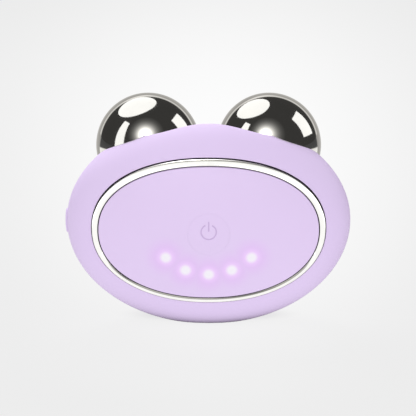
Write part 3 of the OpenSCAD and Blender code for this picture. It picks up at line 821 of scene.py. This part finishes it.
# %% Front of the oval, and outlines
def front_skin(x, z, shrink=0.0):
    """Y of the oval's front at x and at z above its middle."""
    half = half_sizes(z, shrink)
    inside = np.maximum(1 - (x / half[:, 0]) ** 2 - (z / half[:, 2]) ** 2, 0.0)
    return -half[:, 1] * np.sqrt(inside)


def eased(t):
    t = np.clip(t, 0, 1)
    return t * t * t * (t * (6 * t - 15) + 10)


def along_line(points, share):
    """Point at each share of the length of a line through points."""
    points = np.array(points)
    length = np.concatenate([[0], np.cumsum(np.linalg.norm(np.diff(points, axis=0), axis=1))])
    at = share * length[-1]
    return np.column_stack([np.interp(at, length, points[:, i]) for i in range(points.shape[1])])


def rounded(corners, radii, steps=8):
    """A closed outline with its corners rounded, as a list of points."""
    out = []
    count = len(corners)
    for i, (corner, radius) in enumerate(zip(corners, radii)):
        corner = np.array(corner, float)
        before = np.array(corners[i - 1], float) - corner
        after = np.array(corners[(i + 1) % count], float) - corner
        a = corner + before / np.linalg.norm(before) * radius
        b = corner + after / np.linalg.norm(after) * radius
        for t in np.linspace(0, 1, steps):
            out.append((1 - t) ** 2 * a + 2 * t * (1 - t) * corner + t * t * b)
    return out + [out[0]]


# %% [markdown]
# The ring's section is a low bar with a nearly flat crown and small round shoulders. The crown
# leans only part of the way with the oval's slope, so that it faces the viewer and shines white
# all round. Along the top it falls off a hair to the outside, and along the bottom it has a
# chamfer to the inside: these slopes mirror the dark of the room, as thin streaks.

# %% Trim ring
RING_PROUD = 0.30 * MM
RING_DEEP = 1.5 * MM
CROWN = 0.03 * MM
LEAN = 0.3
INNER_DROP = 0.42 * MM
TOP_FALL = 0.065 * MM
CHAMFER_SLOPE = 0.31
ring_half_band = RING_BAND / 2 - 0.16 * MM
crown_points = [
    (ring_half_band * s, RING_PROUD + CROWN * (1 - s * s)) for s in np.linspace(-1, 1, 11)
]
ring_corners = [(-ring_half_band, -RING_DEEP)] + crown_points + [(ring_half_band, -RING_DEEP)]
ring_radii = [0.2 * MM, 0.06 * MM] + [0.02 * MM] * 9 + [0.06 * MM, 0.2 * MM]
ring_section = rounded(ring_corners, ring_radii)


def shoulder_drop(turn, across):
    """The crown falls off to the outside along the top, and more to the inside along the bottom."""
    along_top = np.clip(np.sin(turn) * 2, 0, 1)
    along_bottom = eased(-np.sin(turn) * 2.4)
    outer = np.clip(across / ring_half_band - 0.3, 0, 1)
    inner = np.clip(-across / ring_half_band - 0.1, 0, 1)
    chamfer = CHAMFER_SLOPE * ring_half_band * inner
    return TOP_FALL * along_top * outer**2 + chamfer * along_bottom


def ring_place(turn, share):
    section = along_line(ring_section, share)
    section[:, 1] -= shoulder_drop(turn, section[:, 0]) * (section[:, 1] > 0)
    middle = oval_point(turn, -RING_BAND / 2)
    ahead = oval_point(turn + 0.001, -RING_BAND / 2)
    heading = ahead - middle
    heading /= np.linalg.norm(heading, axis=1)[:, None]
    outward = np.column_stack([heading[:, 1], -heading[:, 0]])
    flat = middle + outward * section[:, :1]
    level = front_skin(middle[:, 0], middle[:, 1])
    edge = middle + outward * RING_BAND / 2
    slope = (front_skin(edge[:, 0], edge[:, 1]) - level) / (RING_BAND / 2)
    y = level + slope * LEAN * section[:, 0] - section[:, 1]
    drop = INNER_DROP * (0.5 - section[:, 0] / RING_BAND)
    return np.column_stack([flat[:, 0], y, flat[:, 1] - drop + MIDDLE[2]])


ring = swept_ring("ring", 360, 72, ring_place)
tidy_normals(ring, angle=40)
hand_over(ring, "housing", "bright_trim", "trim_ring")

# %% [markdown]
# The plate and the button's cap share one surface: the oval's front, pressed in by a soft dish
# round the middle. The dish has no edge, so the seam between plate and cap runs down its slope,
# a hair wide. Both pieces read their height from the same function, so they always line up.

# %% The face's surface
DISH_DEEP = 0.7 * MM
DISH_INNER = 2.9 * MM
DISH_OUTER = 8.2 * MM
DISH_RISE = 0.75 * MM
CAP_R = 6.81 * MM
CAP_T = 1.45 * MM
CAP_GAP = 0.015 * MM
PLATE_T = 1.6 * MM


def face_y(x, z):
    away = np.hypot(x, z - DISH_RISE)
    dish = 1 - eased((away - DISH_INNER) / (DISH_OUTER - DISH_INNER))
    return front_skin(x, z) + DISH_DEEP * dish


def plate_place(turn, share):
    """Front from the outer edge to the button's hole, its wall, the back and the outer wall."""
    edge_r, drop = 0.25 * MM, 0.14 * MM
    outer = oval_point(turn, -RING_BAND - 0.18 * MM)
    reach = np.hypot(outer[:, 0], outer[:, 1])
    hole = CAP_R + CAP_GAP
    knots = np.array([
        # share, distance from the hole towards the edge (0 to 1), depth
        [0.00, 1.0, PLATE_T * 0.6], [0.02, 1.0, drop + 0.1 * MM], [0.03, 0.9985, drop * 0.5],
        [0.045, 0.995, drop * 0.15], [0.06, 0.988, 0.0], [0.50, 0.001, 0.0],
        [0.51, 0.0, 0.015 * MM], [0.53, 0.0, PLATE_T], [0.97, 1.0, PLATE_T],
        [1.0, 1.0, PLATE_T * 0.6],
    ])
    part = np.interp(share, knots[:, 0], knots[:, 1])
    depth = np.interp(share, knots[:, 0], knots[:, 2])
    away = hole + (reach - hole) * part
    outward = outer / reach[:, None]
    x, z = outward[:, 0] * away, outward[:, 1] * away
    front = face_y(x, z)
    back = front_skin(x, z, PLATE_T)
    y = np.where(depth >= PLATE_T * 0.99, back, front + depth)
    return np.column_stack([x, y, z - INNER_DROP * part**2 + MIDDLE[2]])


plate = swept_ring("plate", 288, 200, plate_place)
tidy_normals(plate, angle=40)
hand_over(plate, "housing", "lavender_plate", "face_plate")

# %% [markdown]
# The power sign is pressed into the cap: a ring with a gap on top and a short bar in the gap. The
# cap's mesh is fine enough to carry the groove as real geometry. Its depth falls off smoothly
# on both sides of each line, like a mark that was moulded and not cut. The depth is also kept as
# an attribute of the mesh, which the button's finish reads to paint shade into the groove.

# %% Button cap
SIGN_R = 2.45 * MM
SIGN_LINE = 0.24 * MM
SIGN_DEEP = 0.14 * MM
SIGN_OPEN = math.radians(31)
BAR_LOW = 0.4 * MM
BAR_HIGH = 3.2 * MM


def sign_depth(x, z):
    """Depth of the power sign at each point of the cap."""
    from_top = np.abs(np.arctan2(x, z))
    on_arc = from_top > SIGN_OPEN
    end_x, end_z = SIGN_R * math.sin(SIGN_OPEN), SIGN_R * math.cos(SIGN_OPEN)
    to_arc = np.where(
        on_arc, np.abs(np.hypot(x, z) - SIGN_R), np.hypot(np.abs(x) - end_x, z - end_z)
    )
    to_bar = np.hypot(x, z - np.clip(z, BAR_LOW, BAR_HIGH))
    off = np.minimum(to_arc, to_bar)
    return SIGN_DEEP * (1 - eased((off - SIGN_LINE * 0.4) / (SIGN_LINE * 0.9)))


def cap_place(turn, share):
    """Front from the middle to the rim, down the wall and back to the middle behind."""
    back_y = -HALF[1] + CAP_T
    rim = CAP_R / MM
    knots = np.array([
        # share, distance from the middle in mm, share of the way from the front to the back
        [0.0, 0.0, 0.0], [0.42, 3.9, 0.0], [0.58, rim - 0.02, 0.0], [0.6, rim, 0.012],
        [0.64, rim, 1.0], [1.0, 0.0, 1.0],
    ])
    away = np.interp(share, knots[:, 0], knots[:, 1]) * MM
    back = np.interp(share, knots[:, 0], knots[:, 2])
    x, z = away * np.cos(turn), away * np.sin(turn)
    front = face_y(x, z) + sign_depth(x, z - DISH_RISE)
    return np.column_stack([x, front + (back_y - front) * back, z + MIDDLE[2]])


cap = swept_dome("button_cap", 288, 160, cap_place)
tidy_normals(cap, angle=50)
cap_points = points_of(cap)
# painted shade: this share of the groove's depth darkens the sign in the button's colour
pressed = sign_depth(cap_points[:, 0], cap_points[:, 2] - MIDDLE[2] - DISH_RISE) / SIGN_DEEP
pressed_data = cap.data.attributes.new("pressed", "FLOAT", "POINT").data
pressed_data.foreach_set("value", pressed.astype(np.float32))
hand_over(cap, "power_button", "lavender_button", "power_button")

# %% [markdown]
# Each sphere is a hollow polished shell on a stud. Its mesh is finer than the one that came from
# CAD, because a mirror shows every facet. It is smaller by a hair, so that it stays inside the
# construction's box. A small neck is bored at the bottom, where the stud goes in, and the wall
# gets its real thickness from a Solidify modifier.

# %% Treatment spheres
SPHERE_SHY = 0.002 * MM
SPHERE_WALL = 1.2 * MM
SPHERE_BORE_R = 1.4 * MM


def treatment_sphere(name, side, node):
    place = BALL * (side, 1, 1)
    sphere = new_piece(
        name, bpy.ops.mesh.primitive_uv_sphere_add, segments=192, ring_count=128,
        radius=BALL_R - SPHERE_SHY, location=tuple(place),
    )
    shape = bmesh.new()
    shape.from_mesh(sphere.data)
    low = place[2] - math.sqrt(BALL_R**2 - SPHERE_BORE_R**2)
    doomed = [v for v in shape.verts if v.co.z < low]
    bmesh.ops.delete(shape, geom=doomed, context="VERTS")
    shape.to_mesh(sphere.data)
    shape.free()
    finish_modifier(sphere, "SOLIDIFY", thickness=SPHERE_WALL, offset=-1, use_rim=True)
    tidy_normals(sphere, angle=50)
    return hand_over(sphere, "housing", "sphere_metal", node)


treatment_sphere("sphere_left", -1, "left_sphere")
treatment_sphere("sphere_right", 1, "right_sphere")

# %% [markdown]
# A thin soft gasket lies between each sphere and its cup. Its rim ends just under the sleeve's lip,
# so a pale line shows round the sphere from above and behind. Where the rim lies is found by
# walking up the sphere, at each turn round it, until the body's skin is reached.

# %% Gaskets
GASKET_SINK = 0.6 * MM
GASKET_IN = 0.02 * MM
GASKET_PLAY = 0.03 * MM
GASKET_HOLE_R = 1.5 * MM


def gasket(name, side, node):
    place = BALL * (side, 1, 1)
    climb = np.radians(np.linspace(12, 150, 600))

    def rim_climb(turn):
        rims = []
        for one in turn:
            p = place + (BALL_R + 0.1 * MM) * np.column_stack([
                np.sin(climb) * math.cos(one), np.sin(climb) * math.sin(one), -np.cos(climb),
            ])
            p = p - MIDDLE
            y, z, radius = hollow_section(np.abs(p[:, 0]))
            wall = cup_radius(p[:, 1] - BALL[1]) - BALL_R
            middle = radius - np.hypot(p[:, 1] - y, p[:, 2] - z) - wall
            middle = np.where(np.abs(p[:, 0]) > BALL[0], -1.0, middle)
            out = np.maximum(oval_distance(p, 0.0), middle)
            first = np.argmax(out > 0)
            rims.append((climb[first] if out[first] > 0 else climb[-1]) - GASKET_SINK / BALL_R)
        return np.array(rims)

    def gasket_place(turn, share):
        turns, where = np.unique(np.round(turn, 6), return_inverse=True)
        rim = rim_climb(turns)
        rim = (np.roll(rim, 1) + 2 * rim + np.roll(rim, -1)) / 4
        start = math.asin(GASKET_HOLE_R / BALL_R)
        up = 1 - np.abs(2 * share - 1)
        angle = start + (rim[where] - start) * np.clip(up * 1.02 - 0.01, 0, 1)
        outside = cup_radius(BALL_R * np.sin(angle) * np.sin(turn)) - GASKET_PLAY
        radius = np.where(share < 0.5, outside, BALL_R + GASKET_IN)
        return place + np.column_stack([
            radius * np.sin(angle) * np.cos(turn), radius * np.sin(angle) * np.sin(turn),
            -radius * np.cos(angle),
        ])

    piece = swept_ring(name, 180, 64, gasket_place)
    tidy_normals(piece, angle=40)
    return hand_over(piece, "housing", "gasket_rubber", node)


gasket("gasket_left", -1, "left_sphere_gasket")
gasket("gasket_right", 1, "right_sphere_gasket")

# %% [markdown]
# The side key is a small bar with round ends that stands half a millimetre proud of the body's
# edge and follows its curve. It is a dome swept round its outline, with a tight round edge, and
# a flange behind the sleeve keeps it in.

# %% Side key
KEY_PROUD = 0.5 * MM
key_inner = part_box("side_key")[1].x


def key_place(turn, share):
    """Front, edge, shank and flange of the key; share runs from its outer pole to its inner one."""
    knots = np.array([
        # share, size of the outline, drop of the front, inward position, grow
        [0.00, 0.00, 0.00, 0, 0.0], [0.30, 0.84, 0.00, 0, 0.0], [0.36, 0.93, 0.05, 0, 0.0],
        [0.41, 0.985, 0.17, 0, 0.0], [0.45, 1.00, 0.36, 0, 0.0], [0.62, 1.00, 0.36, 0.8, 0.0],
        [0.66, 1.00, 0.36, 0.8, 0.6], [0.76, 1.00, 0.36, 1.0, 0.6], [1.00, 0.00, 0.36, 1.0, 0.0],
    ])
    size, drop, inward, grow = (np.interp(share, knots[:, 0], knots[:, i]) for i in (1, 2, 3, 4))
    r = KEY_W / 2
    straight = (KEY_L - KEY_W) / 2
    y = (r + grow * MM) * np.cos(turn) * size
    z = ((r + grow * MM) * np.sin(turn) + straight * np.clip(np.sin(turn) * 6, -1, 1)) * size
    half = HALF + KEY_PROUD
    front = -half[0] * np.sqrt(1 - (y / half[1]) ** 2 - (z / half[2]) ** 2) + drop * MM
    x = front + (key_inner - front) * inward
    return np.column_stack([x, y, z + MIDDLE[2]])


key = swept_dome("key", 96, 72, key_place)
tidy_normals(key, angle=45)
hand_over(key, "side_key", "lavender_key", "side_key")

# %% [markdown]
# The studio is plain: a pale floor that runs out of sight under a pale room. What a ray sees of it
# depends on the ray. The camera sees a nearly white floor with a soft pool of light behind the
# object and a faint shade at its foot. Matt surfaces are lit by the floor's own pale light, less a
# dim patch under the body and two dark flags behind it, at its sides, which shade its edges.
# Polished surfaces see a bright sheet round the object and darkness beyond, as in a photographer's
# tent, which gives the spheres their black centres and off-white feet.

# %% Floor
FLOOR_SIZE = 12.0
LENS_POINTS = POINTS_PER_MM * CAMERA_FAR / MM
POOL_MIDDLE = (17 / LENS_POINTS, 38 / LENS_POINTS)
POOL_START, POOL_END = 40 / LENS_POINTS, 290 / LENS_POINTS
SHADE_MIDDLE = 6 * MM
SHEET_MIDDLE = -150 * MM
SHEET_R = 440 * MM
SOFT_EDGE = 60 * MM
floor = new_piece("floor", bpy.ops.mesh.primitive_plane_add, size=FLOOR_SIZE)
floor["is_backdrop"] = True


def rays(finish):
    """Whether the camera looks at a point, also through clear plastic, and whether polish does."""
    seen = finish.node("ShaderNodeLightPath", output="Is Camera Ray")
    outputs = seen.socket.node.outputs
    clear = Value(finish, outputs["Is Transmission Ray"])
    return seen.larger(clear), Value(finish, outputs["Is Glossy Ray"])


def length(x, y):
    return (x * x + y * y) ** 0.5


def side_flags(x, y):
    """Dark flags in two directions behind the body; the left one is half as dark."""
    return y.steps(-0.05, 0.15) * (x.steps(0.3, 0.6) + (-1 * x).steps(0.4, 0.7) * 0.5)


# %% What the camera sees of the floor
def pool_of_light(finish, here):
    """How far a point of the floor is from the pool's middle, measured as the camera sees it."""
    inputs = {0: here, 1: camera.location}
    away = finish.node("ShaderNodeVectorMath", {"operation": "SUBTRACT"}, inputs)

    def along(axis):
        settings = {"operation": "DOT_PRODUCT"}
        return finish.node("ShaderNodeVectorMath", settings, {0: away, 1: axis}, output="Value")

    depth = along(look)
    right = along(Vector((1, 0, 0))) / depth - POOL_MIDDLE[0]
    return length(right, along(picture_up) / depth - POOL_MIDDLE[1])


def floor_for_camera(finish, here, x, y):
    pool = pool_of_light(finish, here).steps(POOL_START, POOL_END)
    tone = finish.mix(pool, colour(251, 251, 251), colour(236, 236, 236))
    behind = y - SHADE_MIDDLE
    shade = 1 - ((x * x * 0.1 + behind * behind) ** 0.5).steps(1 * MM, 10.5 * MM)
    return finish.mix(shade * 0.5, tone, colour(170, 166, 174))


# %% What matt and polished surfaces see of the floor
def under_body(x, y):
    """1 in the dim patch under the body, which is wide and reaches further back than ahead."""
    below = (-1 * y - 1 * MM).larger(y * 0.35)
    return 1 - ((x * x * 0.07 + below * below) ** 0.5).steps(4 * MM, 13.5 * MM)


def floor_for_matt(finish, x, y):
    reach = length(x, y)
    tone = finish.mix(side_flags(x / reach, y / reach) * 0.9, grey(1.06), grey(0.05))
    return finish.mix(under_body(x, y), tone, (0.04, 0.035, 0.05, 1))


def floor_for_polish(finish, x, y):
    wide = x.math("ABSOLUTE", x)
    reach = length(x, y)
    sheet = 1 - length(x, y - SHEET_MIDDLE).steps(SHEET_R, SHEET_R + SOFT_EDGE)
    ahead = (-1 * y - wide * 1.2).steps(0.0, 50 * MM)
    rear = (y / reach).steps(0.60, 0.68) * reach.steps(80 * MM, 160 * MM)
    tone = finish.mix(wide.steps(120 * MM, 160 * MM), (1.05, 1.04, 1.03, 1), (1.95, 1.92, 1.86, 1))
    tone = finish.mix(under_body(x, y) * 0.8, tone, (0.5, 0.48, 0.46, 1))
    tone = finish.mix(sheet.larger(ahead), grey(0.10), tone)
    return finish.mix(rear, tone, (0.68, 0.66, 0.63, 1))


# %% The floor's finish
def floor_finish():
    finish = Finish("floor")
    here = finish.place()
    x, y, _ = finish.parts(here)
    seen, mirror = rays(finish)
    unseen = finish.mix(mirror, floor_for_matt(finish, x, y), floor_for_polish(finish, x, y))
    glow = finish.light(finish.mix(seen, unseen, floor_for_camera(finish, here, x, y)))
    shaded = finish.node("ShaderNodeBsdfDiffuse", {}, {"Color": grey(0.8)})
    finish.surface(finish.node("ShaderNodeMixShader", {}, {0: 0.06, 1: glow, 2: shaded}))
    return finish.material


floor.data.materials.append(floor_finish())
print("floor nodes:", len(floor.data.materials[0].node_tree.nodes))

# %% [markdown]
# The room is one large soft box. It is brightest in front and overhead and dim behind, where the
# floor's two dark flags go on, so that the body is lit evenly and only its far edges fall off. In
# polish it is black in front, white low down where the ring looks, grey above that with a dark part
# at the right, and a warm grey behind, with a bright line where that grey begins: this line draws
# the pale rim round each sphere.


# %% Room
class Room(Finish):
    """The world, built with the same helpers as a finish."""

    def __init__(self):
        world = bpy.data.worlds.new("room")
        bpy.context.scene.world = world
        world.use_nodes = True
        self.tree = world.node_tree


def room_for_matt(room, x, y, z):
    tone = room.mix(y.steps(-0.2, 0.5), grey(0.96), (0.42, 0.42, 0.43, 1))
    tone = room.mix(z.steps(0.5, 0.9), tone, grey(0.84))
    return room.mix(side_flags(x, y) * (1 - z.steps(0.5, 0.8)), tone, grey(0.03))


def room_for_polish(room, x, y, z):
    behind = y * look.y + z * look.z
    rim = room.mix(behind.steps(0.73, 0.77), (1.30, 1.27, 1.22, 1), (0.66, 0.64, 0.61, 1))
    top_left = z.steps(0.36, 0.5) * (0.25 - x).steps(0.0, 0.4)
    rim = room.mix(top_left, rim, (1.7, 1.66, 1.6, 1))
    high = room.mix(z.steps(0.18, 0.23) * x.steps(0.0, 0.06), (0.46, 0.45, 0.42, 1), grey(0.10))
    tone = room.mix(z.steps(0.10, 0.16), (1.05, 1.05, 1.04, 1), high)
    front = (-1 * y).steps(0.0, 0.2) * (1 - x.math("ABSOLUTE", x).steps(0.45, 0.58))
    tone = room.mix((1 - z.steps(0.44, 0.50)) * front, (0.085, 0.083, 0.08, 1), tone)
    return room.mix(behind.steps(0.63, 0.685), tone, rim)


def build_room():
    room = Room()
    seen, mirror = rays(room)
    x, y, z = room.parts(room.place("Generated"))
    unseen = room.mix(mirror, room_for_matt(room, x, y, z), room_for_polish(room, x, y, z))
    shown = room.mix(seen, unseen, colour(240, 240, 240))
    room.surface(room.node("ShaderNodeBackground", {}, {"Color": shown, "Strength": 1.0}))
    print("room nodes:", len(room.tree.nodes))


build_room()

# %% [markdown]
# White cards stand round the object for the polished metal alone: a tilted oval sheet overhead, a
# strip at the left, a panel at the right, and a round lamp with a soft glow high in front. Their
# places come from tracing back where each shape shows on both spheres.


# %% Cards
def card(name, outline, glow):
    """A flat card seen in polished surfaces only; outline gives its corners in order."""
    piece = new_piece(
        name, bpy.ops.mesh.primitive_circle_add, vertices=len(outline), fill_type="NGON",
    )
    p = points_of(piece)
    order = np.argsort(np.arctan2(p[:, 1], p[:, 0]) % (2 * math.pi))
    placed = np.empty_like(p)
    placed[order] = outline
    move_points(piece, placed)
    piece.visible_camera = piece.visible_diffuse = piece.visible_transmission = False
    piece.visible_shadow = piece.visible_volume_scatter = False
    piece.data.materials.append(glow)
    piece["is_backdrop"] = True


def even_glow(name, red, green, blue):
    finish = Finish(name)
    finish.surface(finish.light((red, green, blue, 1)))
    return finish.material


def oval_outline(middle, first, second, count=64):
    turn = np.linspace(0, 2 * math.pi, count, endpoint=False)
    return np.array(middle) + np.outer(np.cos(turn), first) + np.outer(np.sin(turn), second)


def direction(azimuth, elevation):
    """From the body: azimuth 0 is in front of it, 90 at the viewer's right, and 180 behind it."""
    turn, rise = math.radians(azimuth), math.radians(elevation)
    level = math.cos(rise)
    return np.array([math.sin(turn) * level, -math.cos(turn) * level, math.sin(rise)])


SPHERES_MIDDLE = BALL * (0, 1, 1)


def corner_outline(distance, *corners):
    return np.array([SPHERES_MIDDLE + direction(*corner) * distance for corner in corners])


# %% The round lamp's card
LAMP_PLACE = np.array([-63, -403, 330]) * MM
LAMP_R = 160 * MM
LAMP_FADE = 62 * MM
LAMP_CARD_R = 400 * MM
LAMP_CARD_LOW = -90 * MM


def lamp_glow():
    """White within 16 cm of its middle, then a glow that halves about every 4 cm."""
    finish = Finish("key glow")
    settings = {"operation": "DISTANCE"}
    inputs = {0: finish.place(), 1: tuple(LAMP_PLACE)}
    away = finish.node("ShaderNodeVectorMath", settings, inputs, output="Value")
    power = away.math("EXPONENT", (LAMP_R - away) * (1 / LAMP_FADE)) * 1.5 + 0.075
    power = power.math("MINIMUM", power, 7.0)
    finish.surface(finish.light((1, 0.985, 0.955, 1), power))
    return finish.material


key_up = np.array([0, 0.58, 0.815])
key_turn = np.linspace(0, 2 * math.pi, 64, endpoint=False)
key_rise = np.maximum(LAMP_CARD_R * np.sin(key_turn), LAMP_CARD_LOW)
key_across = np.outer(LAMP_CARD_R * np.cos(key_turn), (1, 0, 0))
card("key card", LAMP_PLACE + key_across + np.outer(key_rise, key_up), lamp_glow())


# %% The white cards
CARD_FAR = 700 * MM
white = even_glow("white card", 2.4, 2.4, 2.38)
overhead = np.array([(-279, 70, 529), (-266, -96, 314), (-148, 117, -89)]) * MM
card("overhead card", oval_outline(*overhead), white)
card("left card", corner_outline(CARD_FAR, (-82, 46), (-76.5, -2), (-53.5, -2), (-63, 48)), white)
card("right card", corner_outline(CARD_FAR, (86.5, 48), (85, 13), (116, 8), (126, 40)), white)

# %% [markdown]
# Two lamps shape the matt surfaces. A soft key from high in front gives the face its gentle fall of
# light, and a lamp above and behind at the left brightens the crest and the upper left edge. The
# polished metal doesn't show them, because its cards stand in their place.


# %% Lamps
def lamp(name, azimuth, elevation, distance, width, height, radiance):
    middle = Vector(SPHERES_MIDDLE + direction(azimuth, elevation) * distance)
    data = bpy.data.lights.new(name, "AREA")
    data.shape = "RECTANGLE"
    data.size, data.size_y = width, height
    data.energy = radiance * math.pi * width * height
    holder = bpy.data.objects.new(name, data)
    bpy.context.scene.collection.objects.link(holder)
    holder.location = middle
    holder.rotation_euler = (middle - Vector(SPHERES_MIDDLE)).to_track_quat("Z", "Y").to_euler()
    holder.visible_glossy = False
    print(name, "power, W:", round(data.energy, 2))


lamp("soft key", 25, 40, 0.9, 0.5, 0.5, 0.7)
lamp("back lamp", -158, 50, 0.8, 0.5, 0.3, 9.0)

# %% [markdown]
# The picture is written with plain colours: no filmic curve, no exposure change. The last lines
# print the box of the dressed object and the box of the construction, because the looks must
# never change its size.

# %% Picture colours and boxes
bpy.context.scene.view_settings.view_transform = "Standard"
visual_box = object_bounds()
sizes = {"cad": cad_box, "visual": visual_box}
sizes = {name: [list(corner) for corner in box] for name, box in sizes.items()}
print("cad box:", cad_box, "visual box:", visual_box)
